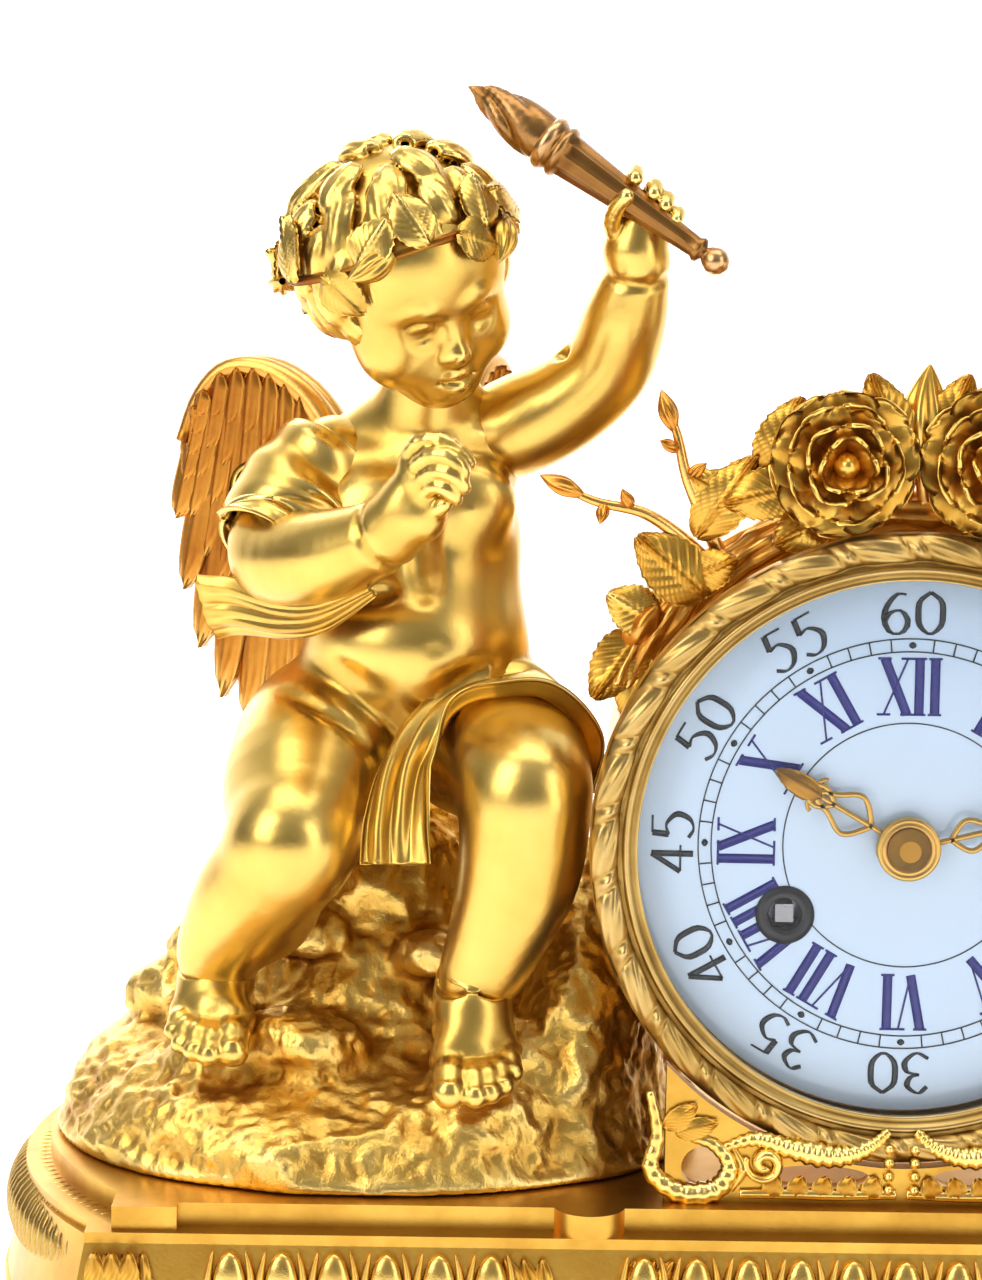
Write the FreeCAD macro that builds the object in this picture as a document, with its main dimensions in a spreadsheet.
import FreeCAD, Part
import math
import os
import re

import Sketcher

# A gilt figural mantel clock: a round movement and dial in a drum, between two seated winged
# children on rockwork, on an oblong base with bowed ends.
# Frame: millimetres, +X to the right of the dial, +Y to the back, +Z up.
# The origin is on the surface under the feet, below the middle of the platform.

os.makedirs("parts", exist_ok=True)
doc = FreeCAD.newDocument("FiguralClock")
sheet = doc.addObject("Spreadsheet::Sheet", "Sizes")
V = FreeCAD.Vector
upright = FreeCAD.Rotation()
along_depth = FreeCAD.Rotation(V(1, 0, 0), -90)

# Driving dimensions, millimetres, degrees and counts

sizes = {
    # Clearances shared by all pieces
    "overrun": 2.0,              # every cut runs this far past its face
    "running_gap": 0.05,         # shaft in its hole, on the radius
    "seat_gap": 0.1,             # casting seated on casting
    "air_gap": 0.4,              # moving piece past its neighbour
    # Base
    "foot_height": 13.0,
    "foot_radius": 11.0,
    "foot_sole_radius": 8.0,
    "foot_neck_radius": 6.5,
    "foot_inset": 17.0,          # foot centre in from the platform's straight edges
    "plinth_height": 8.5,
    "plinth_overhang": 9.0,      # beyond the platform's wall
    "plinth_wall": 38.0,         # the plinth is a flat frame, open in the middle
    "frieze_height": 20.1,
    "frieze_overhang": 8.5,      # foot of the frieze beyond the platform's wall
    "frieze_wall": 3.5,
    "ledge_height": 2.0,
    "ledge_overhang": 4.8,
    "slab_height": 4.4,
    "platform_run": 292.0,       # straight front, over both corner blocks
    "platform_depth": 114.0,
    "bow_rise": 18.0,            # how far each end bows out
    "bow_chord": 100.0,
    "block_width": 12.0,
    "block_reach": 3.0,
    "boss_place": 58.0,
    "boss_radius": 6.6,
    "boss_half_chord": 6.5,
    "bolt_radius": 1.5,
    "nut_radius": 3.2,
    "nut_height": 2.5,
    "bolt_grip": 6.0,            # bolt inside the rockwork
    # Drum and doors
    "dial_height": 114.5,        # dial centre above the floor
    "drum_radius": 53.0,
    "drum_wall": 1.5,
    "drum_front": -46.0,
    "drum_back": 46.0,
    "bezel_radius": 59.0,
    "sight_radius": 50.1,
    "bezel_depth": 6.7,
    "bezel_step": 3.4,           # ornamental band, across the radius
    "glass_seat": 1.6,
    "glass_height": 3.6,         # bulge of the glass
    "glass_wall": 1.2,
    "rear_door_radius": 51.0,
    "rear_door_depth": 1.4,
    "rear_grip_radius": 4.0,
    "rear_grip_reach": 5.0,
    "knuckle_radius": 1.7,
    "hinge_pin_radius": 0.8,
    "knuckle_length": 6.0,
    "ear_length": 3.2,
    "bezel_hinge_reach": 2.3,    # hinge axis beyond the bezel's rim
    "rear_hinge_reach": 2.4,     # hinge axis beyond the drum
    "strap_place": 47.5,
    "strap_radius": 1.6,
    # Dial
    "enamel_front": -44.0,
    "enamel_radius": 50.6,
    "enamel_thickness": 1.4,
    "enamel_crown": 0.8,
    "dial_plate_radius": 51.2,
    "dial_plate_thickness": 1.2,
    "winding_hole_radius": 5.25,
    "dial_foot_radius": 1.5,
    "dial_foot_place": 30.0,
    # Hands
    "hand_thickness": 0.7,
    "hour_hand_front": -46.6,
    "hour_hand_reach": 28.5,
    "hour_hand_turn": 150.0,     # degrees from +X towards +Z
    "minute_hand_front": -48.6,
    "minute_hand_reach": 37.0,
    "minute_hand_turn": 14.0,
    "hand_ring_radius": 6.0,
    "collet_radius": 4.0,
    "collet_height": 2.4,
    # Movement plates
    "front_plate_front": -36.0,
    "back_plate_front": -4.0,
    "plate_thickness": 2.0,
    "plate_radius": 45.0,
    "pillar_radius": 3.0,
    "pillar_place": 41.0,
    "arbor_radius": 1.0,
    "pivot_radius": 0.6,
    "end_shake": 0.2,
    # Barrels and winding
    "barrel_place_x": 22.3,
    "barrel_drop": 13.4,
    "barrel_front": -30.0,
    "barrel_back": -14.0,
    "barrel_radius": 18.2,
    "barrel_wall": 1.0,
    "barrel_flange": 2.0,
    "barrel_teeth": 78.0,
    "barrel_module": 0.5,
    "winding_arbor_radius": 2.4,
    "winding_square": 3.4,
    "winding_front": -43.2,
    "spring_inner_radius": 6.0,
    "spring_gap": 0.5,
    "ratchet_radius": 7.0,
    "ratchet_teeth": 24.0,
    "ratchet_depth": 0.9,
    "ratchet_thickness": 1.2,
    "click_width": 2.4,
    "click_length": 8.0,
    # Going train
    "low_pinion_teeth": 12.0,
    "wheel_thickness": 1.0,
    "intermediate_teeth": 56.0,
    "intermediate_front": -12.0,
    "centre_pinion_teeth": 10.0,
    "centre_teeth": 72.0,
    "centre_module": 0.4,
    "centre_front": -9.5,
    "third_pinion_teeth": 12.0,
    "third_teeth": 56.0,
    "third_module": 0.35,
    "third_front": -20.0,
    "third_turn": 104.0,
    "escape_pinion_teeth": 8.0,
    "escape_radius": 6.8,
    "escape_teeth": 30.0,
    "escape_depth": 1.3,
    "escape_front": -27.0,
    "anchor_rise": 9.4,
    "pallet_clearance": 0.5,
    "anchor_arm_width": 1.8,
    "pinion_face": 3.0,          # pinion length past its wheel on each side
    # Motion work behind the dial
    "cannon_radius": 1.7,
    "cannon_teeth": 12.0,
    "motion_module": 0.4,
    "minute_wheel_teeth": 36.0,
    "minute_pinion_teeth": 10.0,
    "hour_wheel_teeth": 40.0,
    "hour_pipe_radius": 3.0,
    "hour_pipe_bore": 1.95,
    "motion_front": -37.6,
    "hour_wheel_front": -39.5,
    "motion_turn": 270.0,
    # Strike train
    "second_turn": 100.0,
    "second_teeth": 50.0,
    "second_front": -12.0,
    "pin_pinion_teeth": 8.0,
    "pin_teeth": 50.0,
    "pin_front": -24.0,
    "pin_turn": 60.0,
    "lifting_pins": 8.0,
    "lifting_pin_radius": 0.4,
    "lifting_pin_place": 7.0,
    "lifting_pin_reach": 2.0,
    "fly_pinion_teeth": 8.0,
    "fly_turn": 75.0,
    "fly_radius": 5.2,
    "fly_front": -18.5,
    "fly_back": -9.0,
    "fly_thickness": 0.6,
    "hammer_x": -33.0,
    "hammer_rise": 24.0,
    "hammer_tail": 5.2,
    "hammer_head_radius": 2.6,
    "hammer_head_length": 7.0,
    "hammer_arm_radius": 0.8,
    "hammer_gap": 0.8,
    "hammer_turn": 172.0,        # where the head stands round the bell
    "bell_drop": 4.0,
    "bell_radius": 26.0,
    "bell_front": 20.0,
    "bell_depth": 15.0,
    "bell_wall": 1.4,
    "stand_x": -27.0,
    "stand_drop": 27.0,
    "stand_radius": 2.2,
    "stand_arm_thickness": 3.0,
    # Pendulum
    "pendulum_plane": 7.0,
    "pendulum_rod_radius": 1.0,
    "pendulum_drop": 66.0,       # pivot to bob centre
    "bob_radius": 9.5,
    "rating_tip_radius": 1.2,
    "bob_thickness": 6.0,
    "cock_width": 12.0,
    "cock_height": 6.0,
    "crutch_length": 20.0,
    "crutch_radius": 0.7,
    # Rockwork and apron
    "mound_place": 98.0,
    "mound_half_length": 64.5,
    "mound_half_depth": 54.0,
    "mound_rise": 25.0,
    "shoulder_place": 124.0,
    "shoulder_half_length": 37.0,
    "shoulder_half_depth": 45.0,
    "shoulder_rise": 23.0,
    "stool_place": 98.0,
    "stool_foot_radius": 39.0,
    "stool_top_radius": 20.0,
    "stool_rise": 66.0,
    "stool_back": 8.0,
    "ridge_place": 60.0,
    "ridge_half_length": 19.0,
    "ridge_half_depth": 40.0,
    "ridge_rise": 60.0,
    "apron_front": -52.0,
    "apron_thickness": 3.4,
    "apron_half_length": 44.0,
    "apron_gap": 0.7,
    "apron_hole_place": 36.5,
    "apron_hole_half_length": 4.6,
    "apron_hole_half_height": 4.2,
    "apron_hole_rise": 6.6,
    "apron_slot_place": 16.0,
    "apron_slot_half_length": 10.5,
    "apron_slot_half_height": 2.3,
    "apron_slot_rise": 5.0,
    # Garland over the drum
    "branch_arc_radius": 61.0,
    "branch_radius": 4.6,
    "branch_plane": -37.5,
    "branch_sweep": 124.0,
    "branch_pad_width": 7.0,
    "rose_radius": 13.0,
    "rose_depth": 12.0,
    "rose_turn": 11.0,           # either side of the top, degrees
    "rose_reach": 72.5,
    "bud_radius": 6.0,
    "bud_length": 20.0,
    "leaf_length": 13.0,
    "leaf_width": 6.5,
    "leaf_thickness": 2.4,
    "leaf_lean": 55.0,           # outward from the branch, degrees
    # Winged children
    "sitting_height": 120.0,     # seat to the top of the hair
    "seat_place": 95.0,
    "seat_depth": -4.0,
    "seat_height": 128.0,
    "wing_length": 70.0,
    "wing_thickness": 3.0,
    "torch_butt_radius": 1.9,
    "torch_mouth_radius": 4.6,
    "torch_knob_radius": 2.7,
    "torch_collar_radius": 5.4,
    "torch_collar_length": 4.0,
    "flame_radius": 6.2,
    "wreath_radius": 10.0,
    "wreath_thickness": 2.4,
}

for row, (alias, number) in enumerate(sizes.items(), 1):
    sheet.set("A%d" % row, alias.replace("_", " "))
    sheet.set("B%d" % row, str(number))
    sheet.setAlias("B%d" % row, alias)
doc.recompute()


def linked(formula):
    # Puts the sheet's name before each size in a formula
    def named(found):
        word = found.group()
        return "Sizes." + word if word in sizes else word
    return re.sub(r"[a-z_]+", named, str(formula))


def value(formula):
    return float(sheet.evalExpression(linked(formula)))


def bind(thing, field, formula):
    thing.setExpression(field, linked(formula))


def move_to(thing, x, y, z, turn=upright):
    thing.Placement = FreeCAD.Placement(V(0, 0, 0), turn)
    bind(thing, "Placement.Base.x", x)
    bind(thing, "Placement.Base.y", y)
    bind(thing, "Placement.Base.z", z)
    return thing


sub_parts = []


def sub_part(thing, label):
    # A finished piece: its label is its node's name
    thing.Label = label
    sub_parts.append(thing)
    return thing


# Plain solids bound to the sheet

def rod(name, radius, front, back, x="0", z="dial_height"):
    thing = doc.addObject("Part::Cylinder", name)
    bind(thing, "Radius", radius)
    bind(thing, "Height", "(%s) - (%s)" % (back, front))
    return move_to(thing, x, front, z, along_depth)


def post(name, radius, low, high, x, y):
    thing = doc.addObject("Part::Cylinder", name)
    bind(thing, "Radius", radius)
    bind(thing, "Height", "(%s) - (%s)" % (high, low))
    return move_to(thing, x, y, low)


def brick(name, left, right, front, back, low, high):
    thing = doc.addObject("Part::Box", name)
    bind(thing, "Length", "(%s) - (%s)" % (right, left))
    bind(thing, "Width", "(%s) - (%s)" % (back, front))
    bind(thing, "Height", "(%s) - (%s)" % (high, low))
    return move_to(thing, left, front, low)


def egg(name, half_x, half_y, half_z, x, y, z):
    thing = doc.addObject("Part::Ellipsoid", name)
    bind(thing, "Radius1", half_z)
    bind(thing, "Radius2", half_x)
    bind(thing, "Radius3", half_y)
    return move_to(thing, x, y, z)


def joined(name, *things):
    thing = doc.addObject("Part::MultiFuse", name)
    thing.Shapes = list(things)
    return thing


def group(name, *things):
    thing = doc.addObject("Part::Compound", name)
    thing.Links = list(things)
    return thing


def cut(name, base, *tools):
    thing = doc.addObject("Part::Cut", name)
    thing.Base = base
    thing.Tool = tools[0] if len(tools) == 1 else joined(name + "_tools", *tools)
    return thing


def shaped(name, shape):
    # A form that has no feature of its own
    thing = doc.addObject("Part::Feature", name)
    thing.Shape = shape
    thing.Placement = FreeCAD.Placement()
    return thing


# Sketched bodies

def outline(body, role, corners, name, arcs=None):
    # A closed outline whose corners are bound to the sheet; arcs maps a side's number to its radius
    arcs = arcs or {}
    sketch = body.newObject("Sketcher::SketchObject", name)
    sketch.AttachmentSupport = [(next(f for f in body.Origin.OriginFeatures if f.Role == role), "")]
    sketch.MapMode = "FlatFace"
    points = [V(value(x), value(y), 0) for x, y in corners]
    for i, start in enumerate(points):
        end = points[(i + 1) % len(points)]
        if i not in arcs:
            sketch.addGeometry(Part.LineSegment(start, end), False)
            continue
        radius = value(arcs[i])
        half = (end - start) * 0.5
        out = V(half.y, -half.x, 0).normalize()
        top = start + half + out * (radius - math.sqrt(radius ** 2 - half.Length ** 2))
        sketch.addGeometry(Part.Arc(start, top, end), False)
    for i, (x, y) in enumerate(corners):
        last = (i - 1) % len(points)
        sketch.addConstraint(Sketcher.Constraint("Coincident", last, 2, i, 1))
    for i, (x, y) in enumerate(corners):
        ways = (("DistanceX", x, points[i].x, -2), ("DistanceY", y, points[i].y, -1))
        for kind, formula, number, axis in ways:
            if formula == "0":
                sketch.addConstraint(Sketcher.Constraint("PointOnObject", i, 1, axis))
                continue
            made = sketch.addConstraint(Sketcher.Constraint(kind, -1, 1, i, 1, number))
            sketch.setExpression("Constraints[%d]" % made, linked(formula))
    for i, radius in arcs.items():
        made = sketch.addConstraint(Sketcher.Constraint("Radius", i, value(radius)))
        sketch.setExpression("Constraints[%d]" % made, linked(radius))
    return sketch


def turned(name, profile, x="0", z="dial_height", upright_axis=False):
    # A lathe form: profile corners are radius and place along the axis
    body = doc.addObject("PartDesign::Body", name)
    role = "XZ_Plane" if upright_axis else "XY_Plane"
    sketch = outline(body, role, profile, name + "_profile")
    turn = body.newObject("PartDesign::Revolution", name + "_turn")
    turn.Profile = sketch
    turn.ReferenceAxis = (sketch, ["V_Axis"])
    turn.Angle = 360
    if upright_axis:
        return move_to(body, x, z, "0")
    return move_to(body, x, "0", z)


def padded(name, corners, height, low, arcs=None, taper=None):
    # A flat outline raised to a height
    body = doc.addObject("PartDesign::Body", name)
    sketch = outline(body, "XY_Plane", corners, name + "_outline", arcs)
    pad = body.newObject("PartDesign::Pad", name + "_pad")
    pad.Profile = sketch
    bind(pad, "Length", height)
    if taper:
        bind(pad, "TaperAngle", taper)
    return move_to(body, "0", "0", low)


# Base: feet, plinth, frieze and platform

half_run = "platform_run / 2"
half_depth = "platform_depth / 2"
bow_radius = "(bow_chord ^ 2 / 4 + bow_rise ^ 2) / (2 * bow_rise)"
plinth_foot = "foot_height"
frieze_foot = "foot_height + plinth_height"
ledge_foot = frieze_foot + " + frieze_height"
slab_foot = ledge_foot + " + ledge_height"
platform_top = slab_foot + " + slab_height"


def oblong(grow):
    # The base's outline, set out from the platform's wall by a distance; its ends are arcs
    run = "(%s + %s)" % (half_run, grow)
    depth = "(%s + %s)" % (half_depth, grow)
    chord = "(bow_chord / 2 + %s)" % grow
    corners = [("-" + run, "-" + depth), (run, "-" + depth), (run, "-" + chord), (run, chord),
               (run, depth), ("-" + run, depth), ("-" + run, chord), ("-" + run, "-" + chord)]
    bow = "((%s) ^ 2 + bow_rise ^ 2) / (2 * bow_rise)" % chord
    return corners, {2: bow, 6: bow}


def hollow_band(name, low, height, grow, wall, taper=None):
    corners, arcs = oblong(grow)
    solid = padded(name + "_solid", corners, height, low, arcs, taper)
    corners, arcs = oblong("(%s - (%s))" % (grow, wall))
    core = padded(name + "_core", corners, "%s + 2 * overrun" % height, "%s - overrun" % low, arcs)
    return cut(name, solid, core)


def base():
    foot_profile = [("0", "0"), ("foot_sole_radius", "0"), ("foot_radius", "foot_height / 3"),
                    ("foot_neck_radius", "foot_height * 2 / 3"), ("foot_radius", "foot_height"),
                    ("0", "foot_height")]
    reach_x = half_run + " - foot_inset"
    reach_y = half_depth + " - foot_inset"
    feet = []
    for x in ("-(%s)" % reach_x, "0", reach_x):
        for y in ("-(%s)" % reach_y, reach_y):
            feet.append(turned("foot_%d" % len(feet), foot_profile, x, y, upright_axis=True))
    sub_part(group("feet", *feet), "base_feet")
    plinth = hollow_band("plinth", plinth_foot, "plinth_height", "plinth_overhang", "plinth_wall")
    sub_part(plinth, "base_plinth")
    slope = "-(atan((frieze_overhang - ledge_overhang) / frieze_height))"
    band = hollow_band("frieze_band", frieze_foot, "frieze_height", "frieze_overhang",
                       "frieze_wall + frieze_overhang - ledge_overhang", slope)
    ledge = hollow_band("ledge_band", ledge_foot, "ledge_height", "ledge_overhang",
                        "frieze_wall + ledge_overhang")
    sub_part(joined("frieze", band, ledge), "base_frieze")
    platform()


def platform():
    # The slab with its corner blocks and the two half-round bosses of the front
    run, depth = half_run, half_depth
    edge = run + " - block_width"
    front = "-(%s)" % depth
    proud = "-(%s + block_reach)" % depth
    boss_in = "boss_place - boss_half_chord"
    boss_out = "boss_place + boss_half_chord"
    corners = [("-(%s)" % run, proud), ("-(%s)" % edge, proud), ("-(%s)" % edge, front),
               ("-(%s)" % boss_out, front), ("-(%s)" % boss_in, front), (boss_in, front), (boss_out, front),
               (edge, front), (edge, proud), (run, proud), (run, "-bow_chord / 2"), (run, "bow_chord / 2"),
               (run, "%s + block_reach" % depth), (edge, "%s + block_reach" % depth), (edge, depth),
               ("-(%s)" % edge, depth), ("-(%s)" % edge, "%s + block_reach" % depth),
               ("-(%s)" % run, "%s + block_reach" % depth), ("-(%s)" % run, "bow_chord / 2"),
               ("-(%s)" % run, "-bow_chord / 2")]
    arcs = {3: "boss_radius", 5: "boss_radius", 10: bow_radius, 18: bow_radius}
    slab = padded("slab", corners, "slab_height", slab_foot, arcs)
    holes = [post("bolt_hole_%d" % i, "bolt_radius + running_gap", slab_foot + " - overrun",
                  platform_top + " + overrun", x, "0") for i, x in enumerate(bolt_places)]
    sub_part(cut("platform", slab, *holes), "base_platform")
    bolts = []
    nut_foot = slab_foot + " - nut_height"
    for i, x in enumerate(bolt_places):
        shank = post("bolt_shank_%d" % i, "bolt_radius", nut_foot, platform_top + " + bolt_grip", x, "0")
        nut = post("bolt_nut_%d" % i, "nut_radius", nut_foot, slab_foot, x, "0")
        bolts.append(joined("bolt_%d" % i, shank, nut))
    sub_part(group("bolts", *bolts), "base_bolts")


bolt_places = ["-shoulder_place", "-ridge_place", "ridge_place", "shoulder_place"]
base()

# Drum, doors and hinges

bezel_hinge_x = "bezel_radius + bezel_hinge_reach"
bezel_hinge_y = "drum_front - bezel_depth / 8"
rear_hinge_x = "drum_radius + rear_hinge_reach"
rear_hinge_y = "drum_back + rear_door_depth / 2 + air_gap"


def knuckle(name, leaf, x, y, low, high):
    # Adds a hinge barrel to a leaf or an ear, and bores it for the pin
    barrel = post(name + "_barrel", "knuckle_radius", low, high, x, y)
    bore = post(name + "_bore", "hinge_pin_radius + running_gap", low + " - overrun", high + " + overrun", x,
                y)
    return cut(name, joined(name + "_blank", *leaf, barrel), bore)


def leaf_heights():
    # Heights of the leaf's knuckle and of the two ears above and below it
    low = "dial_height - knuckle_length / 2"
    high = "dial_height + knuckle_length / 2"
    return low, high, [("%s - air_gap / 2 - ear_length" % low, "%s - air_gap / 2" % low),
                       ("%s + air_gap / 2" % high, "%s + air_gap / 2 + ear_length" % high)]


def ears(name, x, y, root_x, front, back):
    # The two fixed eyes of a hinge
    made = []
    for i, (low, high) in enumerate(leaf_heights()[2]):
        arm = brick("%s_arm_%d" % (name, i), root_x, x, front, back, low, high)
        made.append(knuckle("%s_ear_%d" % (name, i), [arm], x, y, low, high))
    return made


def drum():
    inner = "drum_radius - drum_wall"
    shell = turned("drum_shell", [(inner, "drum_front"), ("drum_radius", "drum_front"),
                                  ("drum_radius", "drum_back"), (inner, "drum_back")])
    front_ears = ears("front", bezel_hinge_x, bezel_hinge_y, inner + " + drum_wall / 2",
                      "drum_front + air_gap / 2", "drum_front + 2 * knuckle_radius")
    rear_ears = ears("rear", rear_hinge_x, rear_hinge_y, inner + " + drum_wall / 2",
                     "drum_back - 2 * knuckle_radius", "drum_back")
    sub_part(joined("drum", shell, *(front_ears + rear_ears)), "drum_case")
    pins = [post("hinge_pin_%d" % i, "hinge_pin_radius",
                 "dial_height - knuckle_length / 2 - ear_length - air_gap",
                 "dial_height + knuckle_length / 2 + ear_length + air_gap", x, y)
            for i, (x, y) in enumerate(((bezel_hinge_x, bezel_hinge_y), (rear_hinge_x, rear_hinge_y)))]
    sub_part(group("pins", *pins), "hinge_pins")


def bezel():
    back = "drum_front - air_gap / 2"
    front = back + " - bezel_depth"
    glass_place = "sight_radius + glass_seat"
    ring = turned("bezel_ring", [(glass_place, back), ("bezel_radius - 1.5 * glass_seat", back),
                                 ("bezel_radius", back + " - bezel_depth / 4"),
                                 ("bezel_radius", front + " + bezel_depth / 4"),
                                 ("bezel_radius - bezel_step / 2", front),
                                 ("bezel_radius - bezel_step", front),
                                 ("sight_radius", front + " + bezel_depth / 3"),
                                 ("sight_radius", front + " + bezel_depth / 2"),
                                 (glass_place, front + " + bezel_depth / 2")])
    low, high, rest = leaf_heights()
    tab = brick("bezel_tab", "bezel_radius - bezel_step", bezel_hinge_x, front + " + bezel_depth / 2",
                back, low, high)
    sub_part(knuckle("bezel_leaf", [ring, tab], bezel_hinge_x, bezel_hinge_y, low, high), "bezel")
    dome_rise = " + 2 * glass_height * glass_seat / sight_radius"     # of the dome over the rebate's width
    rim_front = front + " + bezel_depth / 2 + seat_gap" + dome_rise
    sub_part(glass(value("sight_radius + glass_seat - seat_gap"), value(rim_front)), "bezel_glass")


def glass(rim, rim_front):
    # A watch-glass: the same dome in front and behind, one wall apart, within the bezel's rebate
    bulge, wall, height = value("glass_height"), value("glass_wall"), value("dial_height")
    dome = (rim ** 2 + bulge ** 2) / (2 * bulge)
    centre = V(0, rim_front - bulge + dome, height)
    seat = Part.makeCylinder(rim, 2 * bulge + wall, V(0, rim_front - 2 * bulge, height), V(0, 1, 0))
    outer = Part.makeSphere(dome, centre)
    inner = Part.makeSphere(dome, centre + V(0, wall, 0))
    return shaped("glass_form", outer.common(seat).cut(inner))


def rear_door():
    front = "drum_back + air_gap"
    back = front + " + rear_door_depth"
    disc = rod("rear_disc", "rear_door_radius", front, back)
    grip = rod("rear_grip", "rear_grip_radius", back, back + " + rear_grip_reach",
               "-rear_door_radius * 3 / 4")
    low, high, rest = leaf_heights()
    tab = brick("rear_tab", "rear_door_radius * 3 / 4", rear_hinge_x, front, back, low, high)
    sub_part(knuckle("rear_leaf", [disc, grip, tab], rear_hinge_x, rear_hinge_y, low, high), "rear_door")


drum()
bezel()
rear_door()

# Dial and its straps; turns are degrees from +X towards +Z, round the dial's centre

dial_foot_turns = (45, 135, 270)
strap_turns = (5, 175)
pillar_turns = (10, 65, 115, 170, 270)

winding_places = ["-barrel_place_x", "barrel_place_x"]
winding_height = "dial_height - barrel_drop"


def rods_round(name, radius, place, turns, front, back):
    return [rod("%s_%d" % (name, i), radius, front, back, "%s * cos(%d)" % (place, turn),
                "dial_height + %s * sin(%d)" % (place, turn)) for i, turn in enumerate(turns)]


def dial():
    back = "enamel_front + enamel_thickness"
    disc = turned("enamel_disc", [("hour_pipe_radius + air_gap", "enamel_front - enamel_crown"),
                                  ("enamel_radius / 2", "enamel_front - enamel_crown * 3 / 4"),
                                  ("enamel_radius", "enamel_front"), ("enamel_radius", back),
                                  ("hour_pipe_radius + air_gap", back)])
    holes = [rod("enamel_hole_%d" % i, "winding_hole_radius", "enamel_front - overrun", back + " + overrun",
                 x, winding_height) for i, x in enumerate(winding_places)]
    sub_part(cut("enamel", disc, *holes), "dial_enamel")
    plate_back = back + " + dial_plate_thickness"
    ring = rod("dial_disc", "dial_plate_radius", back, plate_back)
    bores = [rod("plate_hole_%d" % i, "winding_hole_radius", back + " - overrun", plate_back + " + overrun",
                 x, winding_height) for i, x in enumerate(winding_places)]
    middle = rod("dial_middle", "hour_pipe_radius + air_gap", back + " - overrun", plate_back + " + overrun")
    feet = rods_round("dial_foot", "dial_foot_radius", "dial_foot_place", dial_foot_turns, plate_back,
                      "front_plate_front")
    plate = cut("dial_pierced", ring, middle, *bores)
    sub_part(joined("dial_back", plate, *feet), "dial_plate")
    straps = rods_round("strap", "strap_radius", "strap_place", strap_turns, plate_back,
                        "drum_back - air_gap")
    sub_part(group("straps", *straps), "movement_straps")


dial()

# Wheelwork: places of the arbors, as seen from the front, from the dial's centre


def polar(centre, reach, turn):
    angle = math.radians(turn)
    return centre[0] + reach * math.cos(angle), centre[1] + reach * math.sin(angle)


def meet(first, second, from_first, from_second, side):
    # The third corner of a triangle, from two corners and its other two sides
    dx, dz = second[0] - first[0], second[1] - first[1]
    base_length = math.hypot(dx, dz)
    along = (from_first ** 2 - from_second ** 2 + base_length ** 2) / (2 * base_length)
    across = side * math.sqrt(from_first ** 2 - along ** 2)
    return (first[0] + (dx * along - dz * across) / base_length,
            first[1] + (dz * along + dx * across) / base_length)


def centres(module, teeth, pinion):
    return value("%s * (%s + %s) / 2" % (module, teeth, pinion))


def placed(x, z):
    # The formulas of a place given from the dial's centre
    return "%.6f" % x, "dial_height + %.6f" % z


barrel_reach = centres("barrel_module", "barrel_teeth", "low_pinion_teeth")
at = {"centre": (0.0, 0.0)}
at["time_barrel"] = (value("barrel_place_x"), -value("barrel_drop"))
at["strike_barrel"] = (-value("barrel_place_x"), -value("barrel_drop"))
at["intermediate"] = meet(at["time_barrel"], at["centre"], barrel_reach,
                          centres("barrel_module", "intermediate_teeth", "centre_pinion_teeth"), -1)
at["third"] = polar(at["centre"], centres("centre_module", "centre_teeth", "third_pinion_teeth"),
                    value("third_turn"))
escape_reach = centres("third_module", "third_teeth", "escape_pinion_teeth")
at["escape"] = (0.0, at["third"][1] + math.sqrt(escape_reach ** 2 - at["third"][0] ** 2))
at["anchor"] = (0.0, at["escape"][1] + value("anchor_rise"))
at["motion"] = polar(at["centre"], centres("motion_module", "minute_wheel_teeth", "cannon_teeth"),
                     value("motion_turn"))
at["second"] = polar(at["strike_barrel"], barrel_reach, value("second_turn"))
at["pin"] = polar(at["second"], centres("centre_module", "second_teeth", "pin_pinion_teeth"),
                  value("pin_turn"))
at["fly"] = polar(at["pin"], centres("third_module", "pin_teeth", "fly_pinion_teeth"), value("fly_turn"))
at["hammer"] = (value("hammer_x"), value("hammer_rise"))

# Tooth heights are shares of the module, and half widths are shares of the pitch angle
addendum_share = 0.55
dedendum_share = 0.9
tip_share = 0.11
pitch_share = 0.18
root_share = 0.27
window_place_share = 0.55    # crossings, shares of the pitch radius
window_radius_share = 0.24
ratchet_tip_share = 0.85
escape_shares = (0.5, 0.9)   # end of the gap and tip of the tooth, of the pitch angle


def plate_of(points, thickness):
    # A flat outline given thickness towards the back
    return Part.Face(Part.makePolygon(points + points[:1])).extrude(V(0, thickness, 0))


def toothed(teeth, module, turn, front, back, bore=0.0, windows=0):
    # A toothed disc on the depth axis; one tooth points along the turn
    pitch_radius = teeth * module / 2
    rings = [(pitch_radius - module * dedendum_share, root_share), (pitch_radius, pitch_share),
             (pitch_radius + module * addendum_share, tip_share)]
    points = []
    for tooth in range(int(teeth)):
        middle = turn + 360.0 * tooth / teeth
        for side, order in ((-1, rings), (1, rings[::-1])):
            for radius, share in order:
                x, z = polar((0, 0), radius, middle + side * share * 360.0 / teeth)
                points.append(V(x, front, z))
    disc = plate_of(points, back - front)
    depth = value("overrun")
    through = back - front + 2 * depth
    holes = []
    if bore:
        holes.append(Part.makeCylinder(bore, through, V(0, front - depth, 0), V(0, 1, 0)))
    for i in range(windows):
        x, z = polar((0, 0), pitch_radius * window_place_share, 360.0 * i / windows)
        holes.append(Part.makeCylinder(pitch_radius * window_radius_share, through, V(x, front - depth, z),
                                       V(0, 1, 0)))
    return disc.cut(holes) if holes else disc


def wheel(name, place, teeth, module, turn, front, back, bore=0.0, windows=0):
    thing = shaped(name, toothed(teeth, module, turn, front, back, bore, windows))
    x, z = placed(*at[place])
    return move_to(thing, x, "0", z)


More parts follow.
